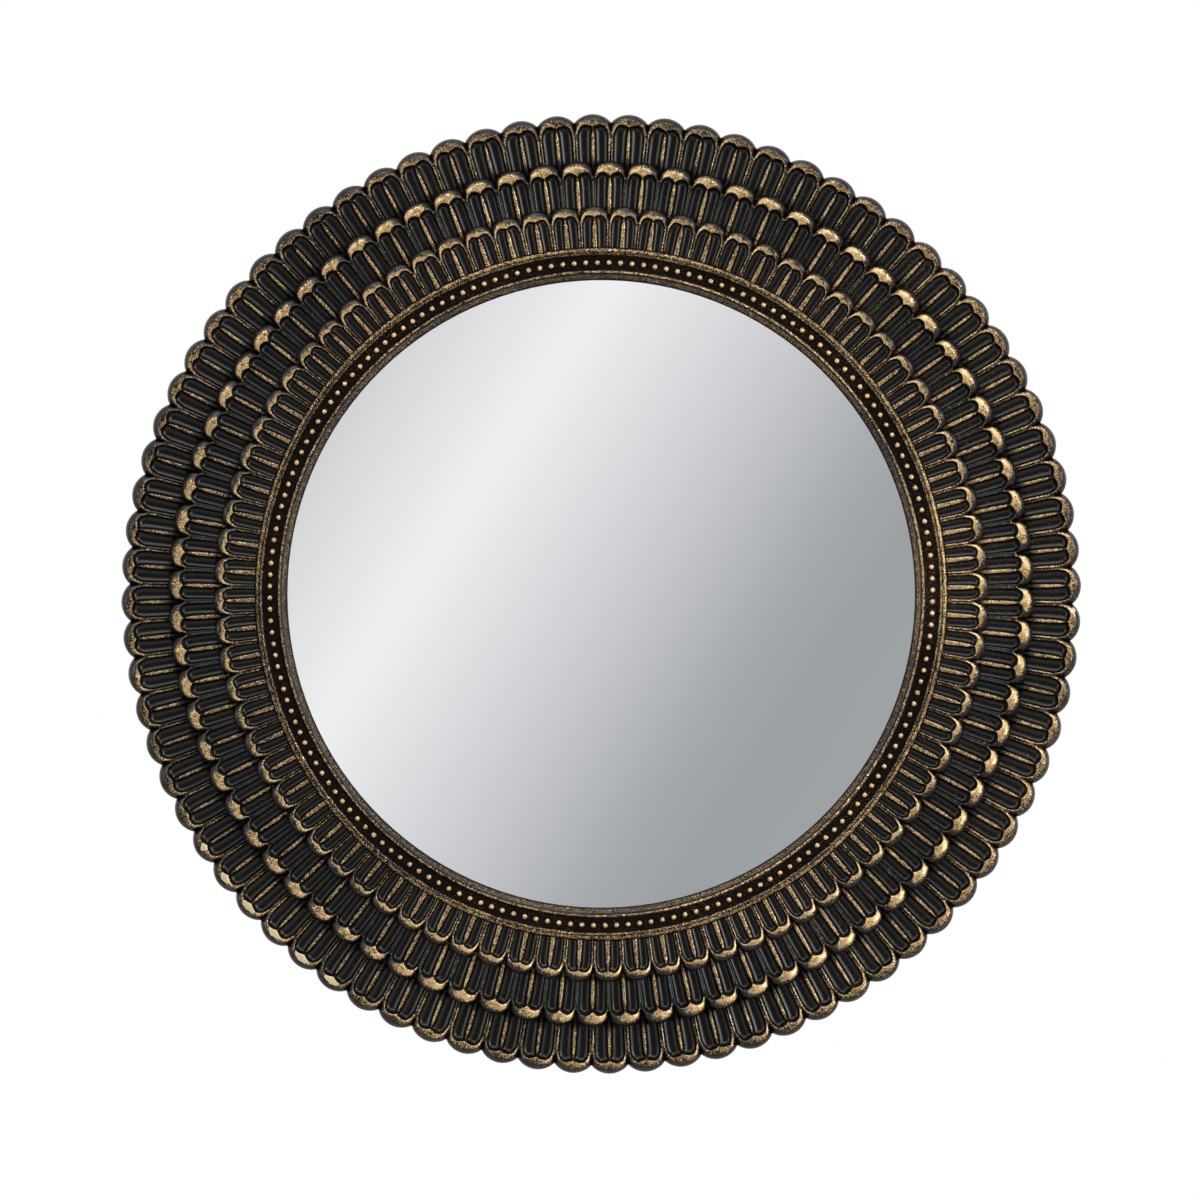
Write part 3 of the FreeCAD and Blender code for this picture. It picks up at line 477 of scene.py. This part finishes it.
def petal_row(name, row):
    """Turn one petal into a ring: spin its copies round the mirror and weld them into one moulding."""
    petal = build_petal(row)
    mesh = bpy.data.meshes.new(name)
    mesh.from_pydata(petal.points, [], petal.faces)
    mesh.attributes.new("gold", "FLOAT", "POINT").data.foreach_set("value", petal.gold)
    piece = bpy.data.objects.new(name, mesh)
    scene.collection.objects.link(piece)
    bpy.ops.object.select_all(action="DESELECT")
    bpy.context.view_layer.objects.active = piece
    piece.select_set(True)
    piece.rotation_euler = (0, -row["turn"], 0)
    bpy.ops.object.transform_apply(location=False, rotation=True, scale=False)
    bpy.ops.object.mode_set(mode="EDIT")
    bpy.ops.mesh.select_all(action="SELECT")
    bpy.ops.mesh.remove_doubles(threshold=WELD)
    bpy.ops.mesh.spin(steps=PETALS, dupli=True, angle=2 * math.pi, center=(0, 0, 0), axis=(0, 1, 0))
    bpy.ops.mesh.select_all(action="SELECT")
    bpy.ops.mesh.remove_doubles(threshold=WELD)
    bpy.ops.mesh.normals_make_consistent(inside=False)
    # On a ring, the operator can take the inside for the outside
    if bmesh.from_edit_mesh(mesh).calc_volume(signed=True) < 0:
        bpy.ops.mesh.flip_normals()
    bpy.ops.object.mode_set(mode="OBJECT")
    bpy.ops.object.shade_smooth_by_angle(angle=SMOOTH_ANGLE)
    return piece


# A row's sizes in metres. In rim_gold, lip_line, lean and sides, what comes first is for a petal's clockwise
# side, and what comes second is for the other.
outer_row = {
    # The row's turn, distances from the axis, and how far a tip reaches past the borders beside it
    "turn": math.radians(1.04), "root": 0.2620, "shoulder": 0.2908, "cusp": 0.2970, "apex": 0.2984,
    "crest_radius": 0.3004, "tip": 0.3050, "step": 0.2970, "scallop": 0.0058,
    # Heights over the wall
    "seat": 0.0140, "under": 0.0060, "edge": 0.0140, "rib_root": 0.0190, "rib": 0.0194, "lip": 0.0205,
    "crest": 0.0212,
    # How deep and how wide the carving goes
    "dome": 0.0024, "gable": 0.10, "flute": 0.0038, "crevice": 0.0042, "crevice_width": 0.0026,
    "rib_half": 0.0009, "rib_spread": 0.0003, "rib_crown": 0.0003, "taper": 0.0070,
    "rim": 0.0015, "rim_fall": 0.0010, "rim_crown": 0.0002, "rim_valley": 0.0006,
    # Shares of gold, and the stretches of the petal over which they come in or fade
    "rib_gold": 0.73, "rim_gold": (0.70, 0.36), "lip_line": (0.62, 0.68), "hood_gold": 0.61,
    "tip_gold": 0.06, "bias": 0.22, "lean": (0.35, 0.10), "fade": (0.10, 0.90),
    "sides": ((0.74, 1.0), (0.88, 1.0)),
    "rib_reach": (0.2735, 0.2765), "rim_reach": (0.2755, 0.2790),
}
outer_petals = petal_row("outer_petals", outer_row)

# Six heads at the lower left, and one each at the left and right, have a bare pale nose, some of them wide.
# Heads are counted anticlockwise from the right. Each has its nose's place across it and its half width.
BARE_NOSES = {42: (0.0, 0.0012), 47: (0.0, 0.0026), 48: (0.0002, 0.0050), 49: (0.0, 0.0058),
              50: (0.0, 0.0052), 51: (0.0, 0.0056), 52: (0.0004, 0.0056), 79: (0.0072, 0.0022)}
NOSE_RADIUS = 0.2992
NOSE_DEPTH = 0.0024
NOSE_DEPTH_TO_WIDTH = 1.4
FULLY_BARE = 0.003
NOT_BARE = -1.0
bareness = []
for vertex, share in zip(outer_petals.data.vertices, outer_petals.data.attributes["gold"].data):
    out = math.hypot(vertex.co.x, vertex.co.z)
    turned = math.atan2(vertex.co.z, vertex.co.x) - outer_row["turn"]
    head = round(turned / PITCH)
    across = out * math.sin(turned - head * PITCH)
    middle, half = BARE_NOSES.get(head % PETALS, (0.0, 0.0))
    if half and share.value > 0:
        depth = min(NOSE_DEPTH, half * NOSE_DEPTH_TO_WIDTH)
        away = math.hypot((across - middle) / half, (out - NOSE_RADIUS) / depth)
        bareness.append(max(1 - away, NOT_BARE) * min(half / FULLY_BARE, 1))
    else:
        bareness.append(NOT_BARE)
outer_petals.data.attributes.new("bare", "FLOAT", "POINT").data.foreach_set("value", bareness)


def noise(tree, vector, scale, detail, roughness=0.55):
    """Give a cloud of noise with scale grains a metre."""
    node = tree.nodes.new("ShaderNodeTexNoise")
    for name, value in (("Vector", vector), ("Scale", scale), ("Detail", detail), ("Roughness", roughness)):
        tree.feed(node.inputs[name], value)
    return node.outputs["Fac"]


def bump(tree, height, strength, distance):
    """Turn a height into a normal."""
    node = tree.nodes.new("ShaderNodeBump")
    for name, value in (("Height", height), ("Strength", strength), ("Distance", distance)):
        tree.feed(node.inputs[name], value)
    return node.outputs["Normal"]


def carried(tree, name):
    """Read a value that the mesh carries at each of its points."""
    node = tree.nodes.new("ShaderNodeAttribute")
    node.attribute_name = name
    return node.outputs["Fac"]


def add_socket(group, name, kind, way, value=None):
    """Give a node group an input or an output."""
    socket = group.interface.new_socket(name=name, in_out=way, socket_type=kind)
    if value is not None:
        socket.default_value = value


def place_group(tree, group, **values):
    """Place a node group in a tree, and give back its outputs."""
    node = tree.nodes.new("ShaderNodeGroup")
    node.node_tree = group
    for name, value in values.items():
        tree.feed(node.inputs[name], value)
    return node.outputs


LACQUER = (0.0016, 0.0013, 0.0008, 1), (0.0040, 0.0034, 0.0023, 1)
GOLD = (0.54, 0.345, 0.145, 1), (0.70, 0.47, 0.225, 1)
THIN_GOLD = (0.085, 0.050, 0.021, 1)
HIGHLIGHT_GOLD = (0.86, 0.66, 0.40, 1)
BARE_GOLD = (0.62, 0.50, 0.29, 1)
GOLD_LEAN = (0.26, 0, 0)
FLECK_SCALE, PATCH_SCALE, DRIFT_SCALE = 1250, 320, 14
FLECK_SHARE, PATCH_SHARE, DRIFT_SHARE = 2.7, 0.5, 0.5
# The gold shares over which the gold takes hold, thickens and turns pale. The pale is a painted highlight:
# the gloss of the heaviest gold painted into its colour.
GOLD_HOLDS, GOLD_THICKENS, GOLD_HIGHLIGHTS = (0.38, 0.52), (0.42, 1.00), (1.0, 1.8)
GOLD_METAL = 0.45
LACQUER_ROUGH, GOLD_ROUGHER, PATCHES_ROUGHER = 0.29, 0.06, 0.12
NOSE_GRAIN, NOSE_RAGGED = 420, 0.9
NOSE_EDGE = (-0.02, 0.06)


def rubbed_gold_group():
    """Gold paint rubbed dry over black lacquer: holds on what stands proud, breaks into flecks, pales as
    painted highlight.
    """
    group = bpy.data.node_groups.new("rubbed_gold", "ShaderNodeTree")
    add_socket(group, "Gold", "NodeSocketFloat", "INPUT", 0.5)
    add_socket(group, "Vector", "NodeSocketVector", "INPUT")
    for name, kind in (("Color", "NodeSocketColor"), ("Metallic", "NodeSocketFloat"),
                       ("Roughness", "NodeSocketFloat"), ("Height", "NodeSocketFloat")):
        add_socket(group, name, kind, "OUTPUT")
    tree = Wiring(group)
    given, result = tree.nodes.new("NodeGroupInput").outputs, tree.nodes.new("NodeGroupOutput").inputs
    vector = given["Vector"]
    flecks = noise(tree, vector, FLECK_SCALE, 2, 0.6)
    patches = noise(tree, vector, PATCH_SCALE, 3, 0.6)
    drift = noise(tree, vector, DRIFT_SCALE, 2, 0.5)
    # The gold was rubbed on a little heavier at the right
    worn = tree.maths("ADD", given["Gold"], tree.vectors("DOT_PRODUCT", vector, GOLD_LEAN))
    for cloud, share in ((flecks, FLECK_SHARE), (patches, PATCH_SHARE), (drift, DRIFT_SHARE)):
        worn = tree.maths("MULTIPLY_ADD", tree.maths("SUBTRACT", cloud, 0.5), share, worn)
    cover = tree.spread(worn, *GOLD_HOLDS)
    gold = tree.mix(tree.spread(patches, 0.3, 0.7), *GOLD)
    gold = tree.mix(tree.spread(worn, *GOLD_THICKENS), THIN_GOLD, gold)
    # Painted highlight: where the gold is heaviest its colour turns pale, as if it caught the light.
    gold = tree.mix(tree.spread(worn, *GOLD_HIGHLIGHTS), gold, HIGHLIGHT_GOLD)
    tree.feed(result["Color"], tree.mix(cover, tree.mix(drift, *LACQUER), gold))
    tree.feed(result["Metallic"], tree.maths("MULTIPLY", cover, GOLD_METAL))
    rough = tree.maths("MULTIPLY_ADD", cover, GOLD_ROUGHER, LACQUER_ROUGH)
    rough = tree.maths("MULTIPLY_ADD", tree.maths("SUBTRACT", patches, 0.5), PATCHES_ROUGHER, rough)
    tree.feed(result["Roughness"], rough)
    height = tree.maths("MULTIPLY_ADD", cover, 0.5, tree.maths("MULTIPLY", flecks, 0.35))
    tree.feed(result["Height"], tree.maths("MULTIPLY_ADD", patches, 0.6, height))
    return group


rubbed_gold = rubbed_gold_group()


def gilded(name, bare=False):
    """Make the black and gold finish of a moulding from the gold shares that its mesh carries."""
    material, tree = new_material(name)
    place = tree.place()
    finish = place_group(tree, rubbed_gold, Gold=carried(tree, "gold"), Vector=place)
    colour = finish["Color"]
    if bare:
        ragged = tree.maths("SUBTRACT", noise(tree, place, NOSE_GRAIN, 3), 0.5)
        edge = tree.maths("MULTIPLY_ADD", ragged, NOSE_RAGGED, carried(tree, "bare"))
        colour = tree.mix(tree.spread(edge, *NOSE_EDGE), colour, BARE_GOLD)
    tree.surface(Base_Color=colour, Metallic=finish["Metallic"], Roughness=finish["Roughness"],
                 Specular_IOR_Level=0.30, Normal=bump(tree, finish["Height"], 0.3, 0.00018))
    return material


paint(outer_petals, gilded("outer_row_lacquer", bare=True))
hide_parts("outer_petal_ring")
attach(outer_petals, "frame")


# The middle row stands over the roots of the outer one. Its hoods are the boldest of the three, gilded at
# the lip and black towards the tip, and its ribs are broad and bright, while its side rims stay low and dark.
middle_row = {
    "turn": math.radians(-1.21), "root": 0.2380, "shoulder": 0.2635, "cusp": 0.2658, "apex": 0.2680,
    "crest_radius": 0.2698, "tip": 0.2753, "step": 0.2615, "scallop": 0.0074,
    "seat": 0.0140, "under": 0.01951, "edge": 0.0225, "rib_root": 0.0238, "rib": 0.0252, "lip": 0.0270,
    "crest": 0.0280,
    "dome": 0.0040, "gable": 0.35, "flute": 0.0036, "crevice": 0.0036, "crevice_width": 0.0024,
    "rib_half": 0.0011, "rib_spread": 0.0001, "rib_crown": 0.0003, "taper": 0.0045,
    "rim": 0.0014, "rim_fall": 0.0020, "rim_crown": 0.0001, "rim_valley": 0.0003,
    "rib_gold": 0.74, "rim_gold": (0.16, 0.10), "lip_line": (0.32, 0.70), "hood_gold": 0.83,
    "tip_gold": -0.26, "bias": 0.22, "lean": (0.30, 0.05), "fade": (0.48, 1.04),
    "sides": ((0.28, 0.70), (0.70, 0.98)),
    "rib_reach": (0.2410, 0.2445), "rim_reach": (0.2465, 0.2500),
}
middle_petals = petal_row("middle_petals", middle_row)
paint(middle_petals, gilded("middle_row_lacquer"))
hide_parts("middle_petal_ring")
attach(middle_petals, "frame")


# The inner row stands over the roots of the middle one and runs in under the beaded rim.
# Its hoods carry a gold band along the arch, which runs on down the rims to the rim's outer cord.
inner_row = {
    "turn": math.radians(1.04), "root": 0.2203, "shoulder": 0.2345, "cusp": 0.2397, "apex": 0.2407,
    "crest_radius": 0.2423, "tip": 0.2465, "step": 0.2375, "scallop": 0.0070,
    "seat": 0.0140, "under": 0.02463, "edge": 0.0264, "rib_root": 0.0278, "rib": 0.0286, "lip": 0.0295,
    "crest": 0.0300,
    "dome": 0.0022, "gable": 0.10, "flute": 0.0030, "crevice": 0.0026, "crevice_width": 0.0022,
    "rib_half": 0.0010, "rib_spread": 0.0005, "rib_crown": 0.0002, "taper": 0.0050,
    "rim": 0.0014, "rim_fall": 0.0012, "rim_crown": 0.0002, "rim_valley": 0.0005,
    "rib_gold": 0.70, "rim_gold": (0.58, 0.44), "lip_line": (0.70, 0.82), "hood_gold": 0.84,
    "tip_gold": -0.10, "bias": 0.22, "lean": (0.45, 0.05), "fade": (0.20, 0.84),
    "sides": ((0.66, 1.0), (0.84, 1.0)),
    "rib_reach": (0.2190, 0.2203), "rim_reach": (0.2190, 0.2203),
}
inner_petals = petal_row("inner_petals", inner_row)
paint(inner_petals, gilded("inner_row_lacquer"))
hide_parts("inner_petal_ring")
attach(inner_petals, "frame")


# The beaded rim round the glass is a cast ring: a hollow and a ridge, a channel with 180 beads, and a cord.
# It is black, with gold rubbed round on the ridge, the bead tops and the cord. It keeps its CAD form.
# A band of gold has its distance from the axis, its half width, how softly it ends, and its share of gold.
RIM_BANDS = {"hollow": (0.2016, 0.0009, 0.0008, 0.36), "ridge": (0.2046, 0.0003, 0.0007, 0.60),
             "cord_side": (0.2160, 0.0004, 0.0008, 0.42), "cord": (0.2184, 0.0007, 0.0010, 0.50)}
BEAD_BAND = (0.21055, 0.0019, 0.0004, 1.0)
# On a bead the gold share rises from its edge to its top: partly where the brush caught the top, partly
# painted shade at the bead's edge and a painted highlight on its top.
BEAD_GOLD_AND_SHADE_RISE = (0.0266, 0.0290)
BEAD_GOLD_AND_HIGHLIGHT = 1.35
STREAKS_ROUND, STREAKS_ACROSS, STREAKS_SHARE = 110, 2200, 2.2
# The lip over the glass is rougher than the rest
LIP_END = (0.2030, 0.2040)
LIP_ROUGHER = 0.35


def gold_band(tree, radius, middle, half, soft, share):
    """Give the gold share of a band round the rim, which falls to 0 at both edges."""
    away = tree.maths("ABSOLUTE", tree.maths("SUBTRACT", radius, middle))
    return tree.spread(away, half, half + soft, share, 0.0)


material, tree = new_material("rim_lacquer")
place = tree.place()
flat = tree.vectors("MULTIPLY", place, (1, 0, 1))
radius = tree.vectors("LENGTH", flat)
height = tree.vectors("DOT_PRODUCT", place, (0, -1, 0))
brushed = 0.0
for rim_band in RIM_BANDS.values():
    brushed = tree.maths("MAXIMUM", brushed, gold_band(tree, radius, *rim_band))
# The beads' gold carries painted shade at their edges and a painted highlight on their tops.
beads = tree.maths("MULTIPLY", gold_band(tree, radius, *BEAD_BAND),
                   tree.spread(height, *BEAD_GOLD_AND_SHADE_RISE, 0.0, BEAD_GOLD_AND_HIGHLIGHT))
# The brush went round the rim, and left streaks that are long round it and fine across it
across = tree.nodes.new("ShaderNodeCombineXYZ")
tree.feed(across.inputs["Y"], tree.maths("MULTIPLY", radius, STREAKS_ACROSS))
around = tree.vectors("NORMALIZE", flat)
streak_place = tree.vectors("MULTIPLY_ADD", around, (STREAKS_ROUND,) * 3, across.outputs[0])
streaks = tree.maths("SUBTRACT", noise(tree, streak_place, 1.0, 3, 0.6), 0.5)
gold = tree.maths("MULTIPLY_ADD", streaks, tree.maths("MULTIPLY", brushed, STREAKS_SHARE),
                  tree.maths("MAXIMUM", brushed, beads))
finish = place_group(tree, rubbed_gold, Gold=gold, Vector=place)
rough = tree.maths("ADD", finish["Roughness"], tree.spread(radius, *LIP_END, LIP_ROUGHER, 0.0))
tree.surface(Base_Color=finish["Color"], Metallic=finish["Metallic"], Roughness=rough,
             Specular_IOR_Level=0.16, Normal=bump(tree, finish["Height"], 0.3, 0.0003))
paint(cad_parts["beaded_rim"], material)


# The glass is a plain 4 mm disc, silvered on its back, with its edge ground. It shows the room.
# A slight haze, no more than a wiped glass has, runs through its colour and its gloss.
material, tree = new_material("silvering")
haze = noise(tree, tree.place(), 9, 2)
tree.surface(Base_Color=tree.mix(haze, (0.915, 0.925, 0.93, 1), (0.93, 0.935, 0.94, 1)), Metallic=1.0,
             Roughness=tree.spread(haze, 0.2, 0.8, 0.004, 0.012))
paint(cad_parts["mirror_glass"], material)


# The base ring is fibreboard, turned and sprayed satin black all over. Rows and rim are screwed to it.
# The spray leaves a fine mist on the fibres, and the back is scuffed here and there.
material, tree = new_material("sprayed_board")
place = tree.place()
mist, fibres = noise(tree, place, 1500, 2), noise(tree, place, 110, 4, 0.65)
scuffs = tree.spread(noise(tree, place, 38, 5, 0.75), 0.60, 0.74)
black = tree.mix(fibres, (0.010, 0.010, 0.011, 1), (0.022, 0.021, 0.021, 1))
tree.surface(Base_Color=tree.mix(scuffs, black, (0.048, 0.044, 0.040, 1)),
             Roughness=tree.spread(fibres, 0.3, 0.7, 0.50, 0.68), Specular_IOR_Level=0.35,
             Normal=bump(tree, tree.maths("MULTIPLY_ADD", mist, 0.4, fibres), 0.35, 0.0003))
paint(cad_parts["base_ring"], material)


# The back board is 3 mm hardboard with its rough side out. It shows the print of the press's wire screen,
# with loose fibres in it.
def screen_wave(tree, place, direction):
    """Give the print of the screen's wires that run one way."""
    wave = tree.nodes.new("ShaderNodeTexWave")
    wave.bands_direction = direction
    for name, value in (("Vector", place), ("Scale", 260.0), ("Distortion", 1.5), ("Detail", 2.0),
                        ("Detail Scale", 1.5)):
        tree.feed(wave.inputs[name], value)
    return wave.outputs["Fac"]


material, tree = new_material("hardboard_back")
place = tree.place()
screen = tree.maths("MULTIPLY", screen_wave(tree, place, "X"), screen_wave(tree, place, "Z"))
fibre, cloud = noise(tree, place, 700, 5, 0.7), noise(tree, place, 22, 3)
brown = tree.mix(fibre, (0.120, 0.062, 0.028, 1), (0.270, 0.155, 0.078, 1))
tree.surface(Base_Color=tree.mix(tree.spread(cloud, 0.35, 0.7, 0.0, 0.4), brown, (0.33, 0.21, 0.12, 1)),
             Roughness=tree.spread(fibre, 0.2, 0.8, 0.72, 0.92), Specular_IOR_Level=0.25,
             Normal=bump(tree, tree.maths("MULTIPLY_ADD", fibre, 0.8, screen), 0.6, 0.0003))
paint(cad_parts["back_board"], material)


# The gasket is a black rubber strip between the glass and the rim, and the wall bumpers are the same rubber.
# The pad behind the glass is thin pale foam. Gasket and pad are cut from sheet and only laid in.
material, tree = new_material("black_rubber")
place = tree.place()
grain, dust = noise(tree, place, 2400, 3), tree.spread(noise(tree, place, 60, 4, 0.7), 0.5, 0.75)
tree.surface(Base_Color=tree.mix(dust, (0.012, 0.012, 0.012, 1), (0.050, 0.048, 0.045, 1)),
             Roughness=tree.spread(grain, 0.2, 0.8, 0.68, 0.86), Specular_IOR_Level=0.3,
             Normal=bump(tree, grain, 0.4, 0.0002))
for node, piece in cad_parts.items():
    if node == "glass_gasket" or node.endswith("wall_bumper"):
        paint(piece, material)

material, tree = new_material("pale_foam")
foam = tree.nodes.new("ShaderNodeTexVoronoi")
tree.feed(foam.inputs["Scale"], 1100.0)
tree.feed(foam.inputs["Vector"], tree.place())
cells = foam.outputs["Distance"]
tree.surface(Base_Color=tree.mix(cells, (0.55, 0.56, 0.56, 1), (0.78, 0.79, 0.78, 1)),
             Roughness=tree.spread(cells, 0.0, 0.8, 0.85, 0.6), Normal=bump(tree, cells, 0.5, 0.0003))
paint(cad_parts["backing_pad"], material)


# The fittings on the back are mild steel, zinc plated: turn buttons, screws, hanger straps and D-rings.
# Plate keeps the drawing lines of the rolled sheet, and the bright zinc has a faint yellow and blue bloom.
DRAWN_GRAIN = (2600, 2600, 60)
BLOOM = (0.42, 0.43, 0.46, 1), (0.56, 0.53, 0.46, 1)
HANDLED = (0.30, 0.29, 0.27, 1)


def plated_steel_group():
    """Zinc plate: bright grey with bloom, drawn lines, and small marks from handling."""
    group = bpy.data.node_groups.new("plated_steel", "ShaderNodeTree")
    add_socket(group, "Vector", "NodeSocketVector", "INPUT")
    add_socket(group, "Lines", "NodeSocketFloat", "INPUT", 1.0)
    for name, kind in (("Color", "NodeSocketColor"), ("Roughness", "NodeSocketFloat"),
                       ("Height", "NodeSocketFloat")):
        add_socket(group, name, kind, "OUTPUT")
    tree = Wiring(group)
    given, result = tree.nodes.new("NodeGroupInput").outputs, tree.nodes.new("NodeGroupOutput").inputs
    vector = given["Vector"]
    drawn = noise(tree, tree.vectors("MULTIPLY", vector, DRAWN_GRAIN), 1.0, 2)
    lines = tree.maths("MULTIPLY", drawn, given["Lines"])
    bloom, marks = noise(tree, vector, 130, 2), tree.spread(noise(tree, vector, 900, 5, 0.8), 0.62, 0.72)
    tree.feed(result["Color"], tree.mix(tree.maths("MULTIPLY", marks, 0.6), tree.mix(bloom, *BLOOM), HANDLED))
    rough = tree.maths("MULTIPLY_ADD", lines, 0.14, tree.spread(bloom, 0.2, 0.8, 0.22, 0.36))
    tree.feed(result["Roughness"], tree.maths("MULTIPLY_ADD", marks, 0.2, rough))
    tree.feed(result["Height"], tree.maths("MULTIPLY_ADD", marks, -0.6, lines))
    return group


plated_steel = plated_steel_group()


def plated(name, lines):
    """Make a zinc-plated steel, with more or fewer drawn lines."""
    material, tree = new_material(name)
    finish = place_group(tree, plated_steel, Vector=tree.place(), Lines=lines)
    tree.surface(Base_Color=finish["Color"], Metallic=1.0, Roughness=finish["Roughness"],
                 Normal=bump(tree, finish["Height"], 0.25, 0.00005))
    return material


sheet_steel = plated("sheet_steel", 1.0)
turned_steel = plated("turned_steel", 0.2)
drawn_wire = plated("drawn_wire", 0.5)
for node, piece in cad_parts.items():
    if node.endswith("screws"):
        paint(piece, turned_steel)
    elif node.startswith("turn_button") or node.endswith("strap"):
        paint(piece, sheet_steel)
    elif node.endswith("d_ring"):
        paint(piece, drawn_wire)
